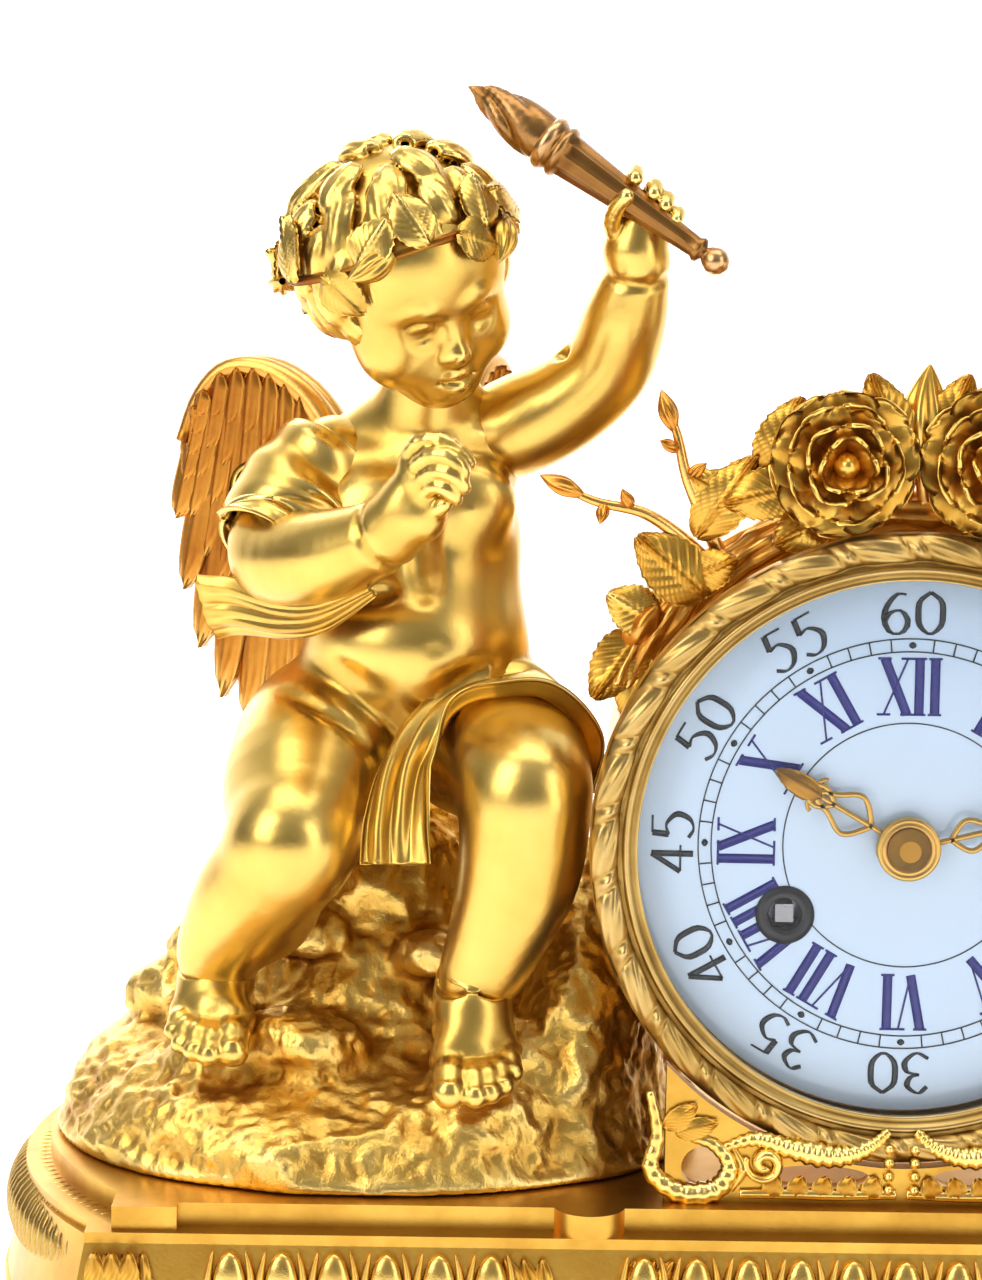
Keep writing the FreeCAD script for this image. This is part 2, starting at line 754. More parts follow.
def bearing(first, second):
    # Direction from one arbor to another, in degrees
    return math.degrees(math.atan2(at[second][1] - at[first][1], at[second][0] - at[first][0]))


def gap_turn(driver, driven, teeth):
    # Turn that sets a gap of the driven wheel on the driver's tooth
    return bearing(driven, driver) + 180.0 / teeth


def arbor(name, place, front=None, back=None):
    # A shaft between the plates with a pivot in each
    x, z = placed(*at[place])
    inner_front = "front_plate_front + plate_thickness + end_shake"
    inner_back = "back_plate_front - end_shake"
    outer_back = back or "back_plate_front + plate_thickness"
    return [rod(name + "_shaft", "arbor_radius", inner_front, inner_back, x, z),
            rod(name + "_pivots", "pivot_radius", front or "front_plate_front", outer_back, x, z)]


def going_train():
    wide = value("wheel_thickness")
    face = value("pinion_face")
    modules = {"low": value("barrel_module"), "mid": value("centre_module"), "high": value("third_module")}
    flange_front = value("barrel_back - barrel_flange")
    for train, first in (("time", "intermediate"), ("strike", "second")):
        place = train + "_barrel"
        flange = wheel(train + "_flange", place, value("barrel_teeth"), modules["low"],
                       bearing(place, first), flange_front, value("barrel_back"),
                       value("winding_arbor_radius + running_gap"))
        barrel(train, flange)
    back = value("intermediate_front") + wide
    sub_part(joined("intermediate",
                    wheel("intermediate_low", "intermediate", value("low_pinion_teeth"), modules["low"],
                          gap_turn("time_barrel", "intermediate", value("low_pinion_teeth")),
                          flange_front - wide, back),
                    wheel("intermediate_disc", "intermediate", value("intermediate_teeth"), modules["low"],
                          bearing("intermediate", "centre"), back - wide, back, windows=4),
                    *arbor("intermediate", "intermediate")), "intermediate_wheel")
    centre_back = value("centre_front") + wide
    low_end = value("intermediate_front") - wide
    sub_part(joined("centre",
                    wheel("centre_low", "centre", value("centre_pinion_teeth"), modules["low"],
                          gap_turn("intermediate", "centre", value("centre_pinion_teeth")),
                          low_end, centre_back),
                    wheel("centre_disc", "centre", value("centre_teeth"), modules["mid"],
                          bearing("centre", "third"), centre_back - wide, centre_back, windows=5),
                    wheel("cannon", "centre", value("cannon_teeth"), value("motion_module"),
                          bearing("centre", "motion"), value("motion_front - wheel_thickness / 2"),
                          value("front_plate_front - end_shake")),
                    rod("cannon_pipe", "cannon_radius", "minute_hand_front - collet_height / 2",
                        "front_plate_front - end_shake"),
                    *arbor("centre", "centre", front="front_plate_front - overrun")), "centre_wheel")
    third_back = value("third_front") + wide
    sub_part(joined("third",
                    wheel("third_low", "third", value("third_pinion_teeth"), modules["mid"],
                          gap_turn("centre", "third", value("third_pinion_teeth")),
                          value("centre_front") - wide / 2, centre_back + wide / 2),
                    wheel("third_disc", "third", value("third_teeth"), modules["high"],
                          bearing("third", "escape"), third_back - wide, third_back, windows=4),
                    *arbor("third", "third")), "third_wheel")
    escape(third_back, face)


def barrel(train, flange):
    x, z = placed(*at[train + "_barrel"])
    bore = "winding_arbor_radius + running_gap"
    flange_front = "barrel_back - barrel_flange"
    inside = "barrel_radius - barrel_wall"
    can_profile = [(bore, "barrel_front"), ("barrel_radius", "barrel_front"), ("barrel_radius", flange_front),
                   (inside, flange_front), (inside, "barrel_front + barrel_wall"),
                   (bore, "barrel_front + barrel_wall")]
    can = turned(train + "_can", can_profile, x, z)
    sub_part(joined(train + "_drum", can, flange), train + "_barrel")
    coil_front = "barrel_front + barrel_wall + spring_gap"
    coil_back = flange_front + " - spring_gap"
    coil_edge = inside + " - seat_gap"
    coil = [("spring_inner_radius", coil_front), (coil_edge, coil_front), (coil_edge, coil_back),
            ("spring_inner_radius", coil_back)]
    sub_part(turned(train + "_coil", coil, x, z), train + "_mainspring")
    shaft = rod(train + "_winder", "winding_arbor_radius",
                "front_plate_front - ratchet_thickness - end_shake", "back_plate_front + plate_thickness",
                x, z)
    hub = rod(train + "_hub", "spring_inner_radius - spring_gap", "barrel_front + barrel_wall + end_shake",
              flange_front + " - end_shake", x, z)
    half = "winding_square / 2"
    square = brick(train + "_square", "%s - %s" % (x, half), "%s + %s" % (x, half), "winding_front",
                   "front_plate_front - ratchet_thickness", "%s - %s" % (z, half), "%s + %s" % (z, half))
    ratchet = shaped(train + "_ratchet", ratchet_disc())
    move_to(ratchet, x, "front_plate_front - end_shake - ratchet_thickness", z)
    sub_part(joined(train + "_arbor", shaft, hub, square, ratchet), train + "_winding_arbor")


def ratchet_disc():
    teeth = int(value("ratchet_teeth"))
    outer, inner = value("ratchet_radius"), value("ratchet_radius - ratchet_depth")
    points = []
    for tooth in range(teeth):
        for radius, step in ((inner, 0.0), (outer, ratchet_tip_share)):
            x, z = polar((0, 0), radius, 360.0 * (tooth + step) / teeth)
            points.append(V(x, 0, z))
    return plate_of(points, value("ratchet_thickness"))


def escape(third_back, face):
    wide = value("wheel_thickness")
    teeth = int(value("escape_teeth"))
    outer, inner = value("escape_radius"), value("escape_radius - escape_depth")
    points = []
    for tooth in range(teeth):
        for radius, step in ((inner, 0.0), (inner, escape_shares[0]), (outer, escape_shares[1])):
            x, z = polar((0, 0), radius, 360.0 * (tooth + step) / teeth)
            points.append(V(x, value("escape_front"), z))
    disc = shaped("escape_disc", plate_of(points, wide))
    x, z = placed(*at["escape"])
    move_to(disc, x, "0", z)
    pinion = wheel("escape_low", "escape", value("escape_pinion_teeth"), value("third_module"),
                   gap_turn("third", "escape", value("escape_pinion_teeth")),
                   third_back - wide - face / 2, third_back + face / 2)
    sub_part(joined("escape", disc, pinion, *arbor("escape", "escape")), "escape_wheel")
    anchor()


def anchor():
    # The pallets stand just outside the escape wheel's tips, at the ends of a bowed arm
    x, z = at["anchor"]
    middle = V(at["escape"][0], value("escape_front"), at["escape"][1] + value("dial_height"))
    inner = value("escape_radius + pallet_clearance")
    outer = inner + value("anchor_arm_width")
    wide = value("wheel_thickness")
    ring = Part.makeCylinder(outer, wide, middle, V(0, 1, 0))
    ring = ring.cut(Part.makeCylinder(inner, wide, middle, V(0, 1, 0)))
    low = middle.z + inner / 2
    arm = ring.common(Part.makeBox(2 * outer, wide, outer, V(-outer, middle.y, low)))
    stem = Part.makeBox(value("anchor_arm_width"), wide, value("dial_height") + z - middle.z - inner,
                        V(-value("anchor_arm_width") / 2, middle.y, middle.z + inner))
    bow = shaped("anchor_bow", arm.fuse(stem))
    top = "dial_height + %.6f" % z
    crutch_y = "pendulum_plane - pendulum_rod_radius - 3 * crutch_radius"
    shaft = arbor("anchor", "anchor", back=crutch_y)
    foot = top + " - crutch_length"
    head = foot + " + 2 * crutch_radius"
    crutch = post("crutch", "crutch_radius", foot, top, "0", crutch_y)
    near = "pendulum_rod_radius + air_gap"
    far = near + " + crutch_radius"
    fork = [brick("fork_%d" % i, left, right, crutch_y, "pendulum_plane + pendulum_rod_radius", foot, head)
            for i, (left, right) in enumerate((("-(%s)" % far, "-(%s)" % near), (near, far)))]
    yoke = brick("fork_yoke", "-(%s)" % far, far, crutch_y + " - 1.3 * crutch_radius",
                 crutch_y + " + 1.3 * crutch_radius", foot, head)
    sub_part(joined("anchor", bow, crutch, yoke, *(shaft + fork)), "pallet_anchor")
    pendulum(top)


def pendulum(top):
    bob_height = top + " - pendulum_drop"
    rod_piece = post("pendulum_rod", "pendulum_rod_radius", bob_height, top + " + cock_height / 4", "0",
                     "pendulum_plane")
    bob = rod("pendulum_bob", "bob_radius", "pendulum_plane - bob_thickness / 2",
              "pendulum_plane + bob_thickness / 2", "0", bob_height)
    tip = post("pendulum_tip", "rating_tip_radius", bob_height + " - bob_radius - cock_height / 2",
               bob_height, "0", "pendulum_plane")
    sub_part(joined("pendulum_piece", rod_piece, bob, tip), "pendulum")
    low = top + " + cock_height / 4 + air_gap"
    back_face = "back_plate_front + plate_thickness"
    block = brick("cock_block", "-cock_width / 2", "cock_width / 2", back_face,
                  "pendulum_plane + 3 * pendulum_rod_radius", low, low + " + cock_height")
    sub_part(block, "suspension_cock")


def motion_work():
    wide = value("wheel_thickness")
    front = value("motion_front")
    cannon_reach = centres("motion_module", "minute_wheel_teeth", "cannon_teeth")
    second_module = 2 * cannon_reach / value("minute_pinion_teeth + hour_wheel_teeth")
    bore = value("pivot_radius + running_gap")
    hour_front = value("hour_wheel_front")
    sub_part(joined("minute_pair",
                    wheel("minute_disc", "motion", value("minute_wheel_teeth"), value("motion_module"),
                          gap_turn("centre", "motion", value("minute_wheel_teeth")), front, front + wide,
                          bore),
                    wheel("minute_low", "motion", value("minute_pinion_teeth"), second_module,
                          bearing("motion", "centre"), hour_front - wide / 4, front, bore)), "minute_wheel")
    pipe = turned("hour_pipe", [("hour_pipe_bore", "hour_hand_front"),
                                ("hour_pipe_radius", "hour_hand_front"),
                                ("hour_pipe_radius", "hour_wheel_front + wheel_thickness"),
                                ("hour_pipe_bore", "hour_wheel_front + wheel_thickness")])
    disc = wheel("hour_disc", "centre", value("hour_wheel_teeth"), second_module,
                 gap_turn("motion", "centre", value("hour_wheel_teeth")), hour_front, hour_front + wide,
                 value("hour_pipe_bore"))
    sub_part(joined("hour_pair", pipe, disc), "hour_wheel")


def strike_train():
    wide = value("wheel_thickness")
    face = value("pinion_face")
    modules = {"low": value("barrel_module"), "mid": value("centre_module"), "high": value("third_module")}
    flange_front = value("barrel_back - barrel_flange")
    back = value("second_front") + wide
    sub_part(joined("second",
                    wheel("second_low", "second", value("low_pinion_teeth"), modules["low"],
                          gap_turn("strike_barrel", "second", value("low_pinion_teeth")),
                          flange_front - wide, back),
                    wheel("second_disc", "second", value("second_teeth"), modules["mid"],
                          bearing("second", "pin"), back - wide, back, windows=4),
                    *arbor("second", "second")), "strike_second_wheel")
    pin_back = value("pin_front") + wide
    x, z = at["pin"]
    pins = []
    for i in range(int(value("lifting_pins"))):
        pin_x, pin_z = placed(*polar((x, z), value("lifting_pin_place"), 360.0 * i / value("lifting_pins")))
        pins.append(rod("lifting_pin_%d" % i, "lifting_pin_radius", "pin_front + wheel_thickness / 2",
                        "pin_front + wheel_thickness + lifting_pin_reach", pin_x, pin_z))
    sub_part(joined("pin_piece",
                    wheel("pin_low", "pin", value("pin_pinion_teeth"), modules["mid"],
                          gap_turn("second", "pin", value("pin_pinion_teeth")), back - wide - face / 2,
                          back + face / 2),
                    wheel("pin_disc", "pin", value("pin_teeth"), modules["high"], bearing("pin", "fly"),
                          pin_back - wide, pin_back), *(pins + arbor("pin", "pin"))), "pin_wheel")
    x, z = placed(*at["fly"])
    vane = brick("fly_vane", x + " - fly_radius", x + " + fly_radius", "fly_front", "fly_back",
                 z + " - fly_thickness / 2", z + " + fly_thickness / 2")
    sub_part(joined("fly", vane,
                    wheel("fly_low", "fly", value("fly_pinion_teeth"), modules["high"],
                          gap_turn("pin", "fly", value("fly_pinion_teeth")), pin_back - wide - face / 2,
                          pin_back + face / 2), *arbor("fly", "fly")), "strike_fly")
    hammer()


def hammer():
    head_reach = value("bell_radius + hammer_head_radius + hammer_gap")
    head_x, head_z = polar((0, -value("bell_drop")), head_reach, value("hammer_turn"))
    strike_plane = value("bell_front + hammer_head_length / 2")
    height = value("dial_height")
    root = V(at["hammer"][0], strike_plane, at["hammer"][1] + height)
    end = V(head_x, strike_plane, head_z + height)
    arm = Part.makeCylinder(value("hammer_arm_radius"), (end - root).Length, root, end - root)
    head = Part.makeCylinder(value("hammer_head_radius"), value("hammer_head_length"),
                             end - V(0, value("hammer_head_length") / 2, 0), V(0, 1, 0))
    tail_start = V(root.x, value("pin_front + wheel_thickness + lifting_pin_reach / 2"), root.z)
    aim = V(at["pin"][0] - root.x, 0, at["pin"][1] + height - root.z).normalize()
    tail = Part.makeCylinder(value("arbor_radius / 2"), value("hammer_tail"), tail_start, aim)
    x, z = placed(*at["hammer"])
    shaft = rod("hammer_shaft", "pivot_radius", "back_plate_front", "bell_front + hammer_head_length / 2",
                x, z)
    sub_part(joined("hammer_piece", shaped("hammer_arm", arm), shaped("hammer_head", head),
                    shaped("hammer_tail_arm", tail), shaft, *arbor("hammer", "hammer")), "hammer")


def bell():
    wall_back = "bell_front + bell_depth"
    hub = "stand_radius + running_gap"
    cup = turned("bell_cup", [("bell_radius - bell_wall", "bell_front"), ("bell_radius", "bell_front"),
                              ("bell_radius - bell_wall", wall_back + " - bell_depth / 3"),
                              ("bell_radius * 3 / 4", wall_back), (hub, wall_back),
                              (hub, wall_back + " - bell_wall"),
                              ("bell_radius * 3 / 4 - bell_wall", wall_back + " - bell_wall"),
                              ("bell_radius - 2 * bell_wall", wall_back + " - bell_depth / 3")],
                 "0", "dial_height - bell_drop")
    sub_part(cup, "bell")
    low = "dial_height - stand_drop"
    plate_back = "back_plate_front + plate_thickness"
    column = rod("stand_column", "stand_radius", plate_back, wall_back + " + stand_arm_thickness",
                 "stand_x", low)
    start = V(value("stand_x"), value(wall_back), value(low))
    end = V(0, value(wall_back), value("dial_height - bell_drop"))
    across = (end - start).cross(V(0, 1, 0)).normalize() * value("stand_radius")
    corners = [start - across, start + across, end + across, end - across]
    bar = plate_of(corners, value("stand_arm_thickness"))
    stud = rod("stand_stud", "stand_radius", wall_back + " - 2 * bell_wall",
               wall_back + " + stand_arm_thickness", "0", "dial_height - bell_drop")
    sub_part(joined("stand", column, shaped("stand_bar", bar), stud), "bell_stand")


def plates():
    holes = []
    for name in at:
        if name == "motion":
            continue
        shaft = "winding_arbor_radius" if name.endswith("barrel") else "pivot_radius"
        holes.append(rod(name + "_hole", shaft + " + running_gap", "front_plate_front - overrun",
                         "back_plate_front + plate_thickness + overrun", *placed(*at[name])))
    cutter = joined("pivot_holes", *holes)
    for name, front in (("front_plate", "front_plate_front"), ("back_plate", "back_plate_front")):
        disc = rod(name + "_disc", "plate_radius", front, front + " + plate_thickness")
        pierced = cut(name + "_pierced", disc, cutter)
        if name == "front_plate":
            stud = rod("motion_stud", "pivot_radius", "hour_wheel_front - wheel_thickness / 2", front,
                       *placed(*at["motion"]))
            pierced = joined("front_plate_studded", pierced, stud)
        sub_part(pierced, name)
    pillars = rods_round("pillar", "pillar_radius", "pillar_place", pillar_turns,
                         "front_plate_front + plate_thickness", "back_plate_front")
    sub_part(group("pillars", *pillars), "plate_pillars")
    clicks = []
    for train in ("time", "strike"):
        x, z = at[train + "_barrel"]
        reach = value("ratchet_radius + air_gap + click_width / 2")
        height = value("dial_height") + z
        arm = Part.makeBox(value("click_length"), value("ratchet_thickness"), value("click_width"),
                           V(x - value("click_length") / 2, value("front_plate_front - ratchet_thickness"),
                             height - reach - value("click_width") / 2))
        clicks.append(shaped(train + "_click", arm))
    sub_part(group("clicks", *clicks), "ratchet_clicks")


going_train()
motion_work()
strike_train()
bell()
plates()

# Hands: a ring at the centre, a pierced stem and a point

hour_shares = [(0.0, 0.16), (0.32, 0.2), (0.42, 0.5), (0.55, 0.34), (0.66, 0.12), (0.8, 0.1), (1.0, 0.0)]
minute_shares = [(0.0, 0.12), (0.25, 0.14), (0.32, 0.36), (0.5, 0.3), (0.6, 0.1), (0.85, 0.07), (1.0, 0.0)]


def hand(name, reach, front, turn, shares, bore):
    # Outline points are shares of the hand's length and of the centre ring's width
    length, half_width = value(reach), value("2 * hand_ring_radius")
    side = [V(length * along, 0, half_width * out) for along, out in shares]
    other = [V(p.x, 0, -p.z) for p in side[::-1][1:]]
    blade = plate_of(side + other, value("hand_thickness"))
    ring = Part.makeCylinder(value("hand_ring_radius"), value("hand_thickness"), V(0, 0, 0), V(0, 1, 0))
    hole = Part.makeCylinder(value(bore), value("hand_thickness"), V(0, 0, 0), V(0, 1, 0))
    blade = blade.fuse(ring).cut(hole)
    lean = FreeCAD.Rotation(V(0, 1, 0), -value(turn))
    return move_to(shaped(name, blade), "0", front, "dial_height", lean)


def hands():
    sub_part(hand("hour_blade", "hour_hand_reach", "hour_hand_front - hand_thickness", "hour_hand_turn",
                  hour_shares, "hour_pipe_bore"), "hour_hand")
    sub_part(hand("minute_blade", "minute_hand_reach", "minute_hand_front", "minute_hand_turn",
                  minute_shares, "cannon_radius"), "minute_hand")
    collet = turned("collet", [("cannon_radius", "minute_hand_front - collet_height / 2"),
                               ("0", "minute_hand_front - collet_height / 2"),
                               ("0", "minute_hand_front - collet_height"),
                               ("collet_radius / 2", "minute_hand_front - collet_height"),
                               ("collet_radius", "minute_hand_front - collet_height / 3"),
                               ("collet_radius", "minute_hand_front"),
                               ("cannon_radius", "minute_hand_front")])
    sub_part(collet, "hand_collet")


hands()

# Rockwork under each figure, cut to the drum, the bezel and the bolts


def clearance_forms(name):
    drum_room = rod(name + "_drum_room", "drum_radius + seat_gap", "drum_front + air_gap / 2",
                    "drum_back + 10 * overrun")
    bezel_room = rod(name + "_bezel_room", "bezel_radius + apron_gap", "apron_front - 10 * overrun",
                     "drum_front + air_gap")
    floor_room = brick(name + "_floor_room", "-platform_run", "platform_run", "-platform_depth",
                       "platform_depth", "-platform_depth", platform_top)
    return [drum_room, bezel_room, floor_room]


def mound(side, sign):
    forms = [egg("%s_%s_form" % (side, form), form + "_half_length", form + "_half_depth", form + "_rise",
                 "%s%s_place" % (sign, form), "0", platform_top) for form in ("mound", "shoulder", "ridge")]
    stool = doc.addObject("Part::Cone", side + "_stool")
    bind(stool, "Radius1", "stool_foot_radius")
    bind(stool, "Radius2", "stool_top_radius")
    bind(stool, "Height", "stool_rise")
    forms.append(move_to(stool, sign + "stool_place", "stool_back", platform_top))
    rock = joined(side + "_rock", *forms)
    holes = [post(side + "_rock_hole_%d" % i, "bolt_radius + running_gap", platform_top + " - overrun",
                  platform_top + " + bolt_grip + seat_gap", sign + place, "0")
             for i, place in enumerate(("shoulder_place", "ridge_place"))]
    return sub_part(cut(side + "_mound_piece", rock, *(clearance_forms(side) + holes)), side + "_mound")


def apron(mounds):
    plate = brick("apron_plate", "-apron_half_length", "apron_half_length", "apron_front",
                  "apron_front + apron_thickness", platform_top, "dial_height - bezel_radius / 2")
    holes = [rod("apron_bezel_room", "bezel_radius + apron_gap", "apron_front - overrun",
                 "apron_front + apron_thickness + overrun")]
    for sign in ("-", ""):
        for form in ("hole", "slot"):
            name = "apron_" + form
            holes.append(egg("%s_%d" % (name, len(holes)), name + "_half_length", "apron_thickness * 2",
                             name + "_half_height", "%s%s_place" % (sign, name),
                             "apron_front + apron_thickness / 2", "%s + %s_rise" % (platform_top, name)))
    sub_part(cut("apron_piece", plate, *(holes + mounds)), "apron")


left_mound = mound("left", "-")
right_mound = mound("right", "")
apron([left_mound, right_mound])

# Garland: a branch bent over the drum, on three pads, with roses, buds and leaves


def garland():
    ring = doc.addObject("Part::Torus", "branch_ring")
    bind(ring, "Radius1", "branch_arc_radius")
    bind(ring, "Radius2", "branch_radius")
    bind(ring, "Angle3", "branch_sweep")
    turn = FreeCAD.Rotation(V(0, 1, 0), value("branch_sweep / 2") - 90) * FreeCAD.Rotation(V(1, 0, 0), 90)
    move_to(ring, "0", "branch_plane", "dial_height", turn)
    pads = []
    for i, place in enumerate(pad_turns):
        pad = Part.makeBox(value("branch_pad_width"), value("branch_radius"),
                           value("branch_arc_radius - drum_radius"),
                           V(-value("branch_pad_width / 2"), value("branch_plane - branch_radius / 2"),
                             value("drum_radius + seat_gap - drum_wall")))
        pads.append(move_to(shaped("branch_pad_%d" % i, pad), "0", "0", "dial_height",
                            FreeCAD.Rotation(V(0, 1, 0), place)))
    blank = joined("branch_blank", ring, *pads)
    branch = cut("branch", blank, rod("branch_room", "drum_radius + seat_gap", "drum_front", "drum_back"))
    sub_part(branch, "garland_branch")
    room = rod("rose_room", "bezel_radius + apron_gap", "drum_front - 10 * overrun", "drum_front + air_gap")
    leaves(room, roses(room))


def roses(room):
    # Two roses in front of the branch and the upright bud between them
    back = "branch_plane - branch_radius - seat_gap"
    petals = [("0", back), ("rose_radius * 3 / 4", back), ("rose_radius", back + " - rose_depth / 4"),
              ("rose_radius", back + " - rose_depth / 2"),
              ("rose_radius * 3 / 4", back + " - rose_depth * 5 / 6"),
              ("rose_radius / 2", back + " - rose_depth"), ("0", back + " - rose_depth")]
    blooms = [turned("rose_%d" % i, petals, "rose_reach * sin(%srose_turn)" % sign,
                     "dial_height + rose_reach * cos(rose_turn)") for i, sign in enumerate(("-", ""))]
    low = "dial_height + branch_arc_radius + branch_radius + seat_gap"
    bud = [("0", low), ("bud_radius / 2", low), ("bud_radius", low + " + bud_length / 3"),
           ("bud_radius * 3 / 4", low + " + bud_length * 2 / 3"), ("bud_radius / 4", low + " + bud_length"),
           ("0", low + " + bud_length")]
    blooms.append(turned("bud", bud, "0", "branch_plane", upright_axis=True))
    return sub_part(cut("blossoms", joined("bloom_blank", *blooms), room), "garland_roses")


def leaves(room, blossoms):
    # Pointed flat leaves that lie against the front of the branch
    tip, edge = value("leaf_length"), value("leaf_width")
    sides = [Part.Arc(V(0, 0, -tip), V(edge, 0, 0), V(0, 0, tip)).toShape(),
             Part.Arc(V(0, 0, tip), V(-edge, 0, 0), V(0, 0, -tip)).toShape()]
    blade = Part.Face(Part.Wire(sides)).extrude(V(0, -value("leaf_thickness"), 0))
    made = []
    for i, (turn, reach) in enumerate(leaf_shares):
        lean = turn + math.copysign(value("leaf_lean"), turn)
        made.append(move_to(shaped("leaf_%d" % i, blade),
                            "branch_arc_radius * %.3f * sin(%d)" % (reach, turn),
                            "branch_plane - branch_radius - seat_gap",
                            "dial_height + branch_arc_radius * %.3f * cos(%d)" % (reach, turn),
                            FreeCAD.Rotation(V(0, 1, 0), lean)))
    sub_part(cut("foliage", joined("leaf_blank", *made), blossoms, room), "garland_leaves")


# Places along the branch: degrees from the top, and for leaves a share of the branch's radius
pad_turns = (-40, 0, 40)
leaf_shares = [(-52, 1.12), (-36, 1.14), (-22, 1.2), (22, 1.2), (36, 1.14), (52, 1.12)]
garland()

# Seated children: places and radii are shares of the sitting height, from the middle of the seat,
# with x towards the clock's dial

torso_shares = [(-0.01, 0.02, 0.05, 0.165), (0.04, -0.03, 0.155, 0.172), (0.03, 0.01, 0.33, 0.165)]
collar_shares = [(-0.10, 0.025, 0.44, 0.08), (0.03, 0.01, 0.49, 0.08), (0.16, 0.025, 0.49, 0.08)]
neck_shares = [(0.03, 0.01, 0.46, 0.085), (0.045, -0.03, 0.57, 0.075)]
outer_leg_shares = [(-0.117, 0, -0.01, 0.138), (-0.15, -0.133, -0.077, 0.125),
                    (-0.166, -0.267, -0.156, 0.096), (-0.235, -0.217, -0.24, 0.088),
                    (-0.29, -0.15, -0.345, 0.058), (-0.30, -0.117, -0.40, 0.05),
                    (-0.283, -0.067, -0.457, 0.046), (-0.293, -0.2, -0.464, 0.046),
                    (-0.283, -0.267, -0.48, 0.028)]
inner_leg_shares = [(0.128, 0, 0.01, 0.133), (0.185, -0.15, 0, 0.12), (0.205, -0.283, -0.06, 0.09),
                    (0.19, -0.267, -0.19, 0.083), (0.1425, -0.25, -0.33, 0.06),
                    (0.12, -0.25, -0.393, 0.048), (0.107, -0.2, -0.45, 0.05), (0.118, -0.35, -0.476, 0.048),
                    (0.122, -0.40, -0.50, 0.028)]
wide_leg_shares = [(0.12, 0, 0.01, 0.133), (0.135, -0.15, 0, 0.12), (0.12, -0.283, -0.06, 0.09),
                   (0.105, -0.267, -0.19, 0.083), (0.07, -0.25, -0.33, 0.06), (0.055, -0.25, -0.393, 0.048),
                   (0.045, -0.2, -0.45, 0.05), (0.05, -0.35, -0.476, 0.048), (0.052, -0.40, -0.50, 0.028)]
head_shares = [(0.0, -0.05, 0.785, 0.19), (0.077, -0.15, 0.68, 0.132), (0.10, -0.2, 0.60, 0.05)]
bent_arm_shares = [(-0.13, 0.015, 0.425, 0.088), (-0.18, -0.035, 0.35, 0.088), (-0.21, -0.085, 0.29, 0.073),
                   (-0.12, -0.23, 0.31, 0.066), (0, -0.285, 0.353, 0.045), (0.04, -0.315, 0.41, 0.052),
                   (0.07, -0.34, 0.465, 0.035)]
raised_arm_shares = [(0.18, 0.015, 0.50, 0.079), (0.267, -0.01, 0.546, 0.07), (0.333, -0.035, 0.61, 0.065),
                     (0.355, -0.065, 0.694, 0.058), (0.375, -0.10, 0.77, 0.04),
                     (0.373, -0.117, 0.814, 0.047), (0.39, -0.15, 0.86, 0.037)]
resting_arm_shares = [(-0.13, 0.01, 0.425, 0.088), (-0.19, -0.035, 0.33, 0.086),
                      (-0.22, -0.045, 0.225, 0.073), (-0.205, -0.10, 0.145, 0.066),
                      (-0.18, -0.165, 0.085, 0.045), (-0.165, -0.20, 0.045, 0.052),
                      (-0.155, -0.25, 0.02, 0.035)]
holding_arm_shares = [(0.18, 0.015, 0.50, 0.079), (0.26, -0.03, 0.50, 0.07), (0.33, -0.08, 0.52, 0.065),
                      (0.35, -0.13, 0.60, 0.058), (0.36, -0.17, 0.68, 0.04), (0.36, -0.185, 0.725, 0.047),
                      (0.355, -0.20, 0.77, 0.037)]
shawl_shares = [(-0.115, 0.01, 0.43, 0.105), (-0.185, -0.04, 0.345, 0.106), (-0.2, -0.07, 0.29, 0.092)]
shawl_tail_shares = [(-0.2, -0.02, 0.25, 0.07), (-0.235, 0.0, 0.235, 0.05), (-0.1, -0.17, 0.245, 0.03)]
sash_shares = [(0.13, 0.0, 0.03, 0.142), (0.165, -0.09, 0.018, 0.14), (0.188, -0.17, -0.005, 0.128)]
wide_sash_shares = [(0.123, 0.0, 0.03, 0.142), (0.13, -0.09, 0.018, 0.14), (0.128, -0.17, -0.005, 0.128)]
sash_end_shares = [(0.03, -0.2, -0.01, 0.05), (0.03, -0.27, -0.09, 0.045), (0.04, -0.3, -0.15, 0.035)]
torch_shares = [(0.495, -0.183, 0.77), (0.218, -0.117, 0.96), (0.115, -0.10, 1.035)]
wreath_share = (0.355, -0.20, 0.87)
wing_outline_shares = [(0.0, 0.62), (0.07, 0.88), (0.24, 1.0), (0.42, 0.95), (0.5, 0.76), (0.46, 0.5),
                       (0.36, 0.2), (0.26, 0.0), (0.16, 0.12), (0.05, 0.36)]
wing_roots_shares = [((-0.085, 0.1), 153), ((0.05, 0.13), 60)]
cone_share = 0.96            # cone ends stand just inside their balls


def spot(share, sign):
    size = value("sitting_height")
    return V(sign * (value("seat_place") - size * share[0]), value("seat_depth") + size * share[1],
             value("seat_height") + size * share[2])


def limb(shares, sign):
    # Balls at the joints and tapered lengths between them, as one solid
    size = value("sitting_height")
    balls = [(spot(s, sign), s[3] * size) for s in shares]
    ends = [balls[0]] + balls + [balls[-1]]
    forms = [Part.makeSphere(radius, place, after[0] - before[0])       # poles along the limb
             for (place, radius), before, after in zip(balls, ends, ends[2:])]
    for (start, wide), (end, narrow) in zip(balls, balls[1:]):
        way = end - start
        forms.append(Part.makeCone(wide * cone_share, narrow * cone_share * 0.999, way.Length, start, way))
    return forms[0].fuse(forms[1:])


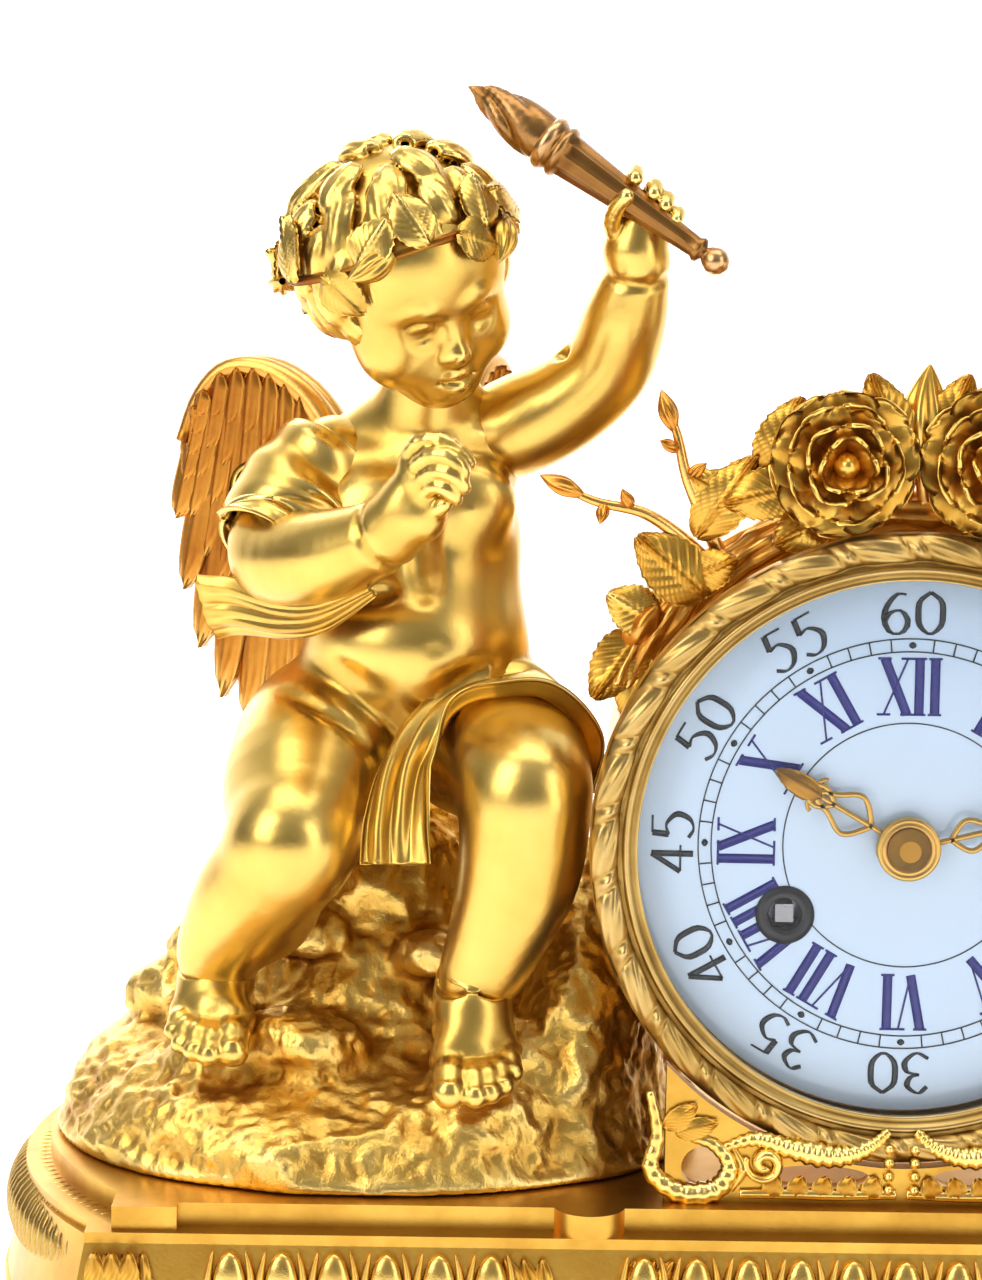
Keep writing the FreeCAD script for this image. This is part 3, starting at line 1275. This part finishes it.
def wings(sign, trunk):
    size = value("wing_length")
    low = value("seat_height")
    made = []
    for (x, y), turn in wing_roots_shares:
        root = spot((x, y, 0), sign)
        angle = math.radians(turn)
        spread = V(sign * -math.cos(angle), math.sin(angle), 0)
        points = [root + spread * (size * out) + V(0, 0, size * up) for out, up in wing_outline_shares]
        curve = Part.BSplineCurve()
        curve.interpolate(Points=points, PeriodicFlag=True)
        across = spread.cross(V(0, 0, 1)).normalize() * value("wing_thickness")
        blade = Part.Face(Part.Wire(curve.toShape())).extrude(across)
        made.append(blade.cut(trunk))
    return Part.makeCompound(made)


def child(side, sign, outer_arm, inner_arm, inner_leg, sash_path, rock):
    trunk = limb(torso_shares, sign).fuse([limb(collar_shares, sign), limb(neck_shares, sign),
                                           limb(outer_leg_shares, sign), limb(inner_leg, sign)])
    trunk = trunk.cut(rock)
    head = limb(head_shares, sign).cut(trunk)
    arms = Part.makeCompound([limb(outer_arm, sign).cut(trunk), limb(inner_arm, sign).cut(trunk)])
    shawl = limb(shawl_shares, sign).fuse(limb(shawl_tail_shares, sign))
    sash = limb(sash_path, sign).fuse(limb(sash_end_shares, sign))
    feathers = wings(sign, trunk)
    cover = [trunk, arms, head, rock, feathers]
    drapery = Part.makeCompound([shawl.cut(cover), sash.cut(cover)])
    for name, shape in (("body", trunk), ("head", head), ("arms", arms), ("wings", feathers),
                        ("drapery", drapery)):
        sub_part(shaped("%s_%s_form" % (side, name), shape), "%s_cherub_%s" % (side, name))
    return arms


def torch(arms):
    butt, mouth, tip = (spot(s, -1) for s in torch_shares)
    aim = (mouth - butt).normalize()
    shaft = Part.makeCone(value("torch_butt_radius"), value("torch_mouth_radius"), (mouth - butt).Length,
                          butt, aim)
    collar = Part.makeCylinder(value("torch_collar_radius"), value("torch_collar_length"), mouth, aim)
    flame = Part.makeCone(value("flame_radius"), value("flame_radius / 3"), (tip - mouth).Length,
                          mouth + aim * value("torch_collar_length / 2"), aim)
    knob = Part.makeSphere(value("torch_knob_radius"), butt)
    sub_part(shaped("torch_form", shaft.fuse([collar, flame, knob]).cut(arms)), "torch")


def wreath(arms):
    centre = spot(wreath_share, 1)
    ring = Part.makeTorus(value("wreath_radius"), value("wreath_thickness"), centre, V(0, 1, 0))
    sub_part(shaped("wreath_form", ring.cut(arms)), "wreath")


doc.recompute()
torch(child("left", -1, bent_arm_shares, raised_arm_shares, inner_leg_shares, sash_shares, left_mound.Shape))
wreath(child("right", 1, resting_arm_shares, holding_arm_shares, wide_leg_shares, wide_sash_shares,
             right_mound.Shape))
doc.recompute()

# Checks, then one file for each piece

failed = [thing.Name for thing in doc.Objects if {"Invalid", "Error"} & set(thing.State)]
for piece in sub_parts:
    if piece.Shape.isNull() or not piece.Shape.isValid() or not piece.Shape.Solids:
        failed.append(piece.Label)
if failed:
    raise RuntimeError("not sound: " + ", ".join(failed))
for piece in sub_parts:
    piece.Shape.exportStep("parts/%s.step" % piece.Label)
    box = piece.Shape.BoundBox
    print("%-24s %2d solids, volume %9.1f, x %7.1f to %7.1f, y %6.1f to %6.1f, z %6.1f to %6.1f"
          % (piece.Label, len(piece.Shape.Solids), piece.Shape.Volume, box.XMin, box.XMax, box.YMin, box.YMax,
             box.ZMin, box.ZMax))
print(len(sub_parts), "pieces")
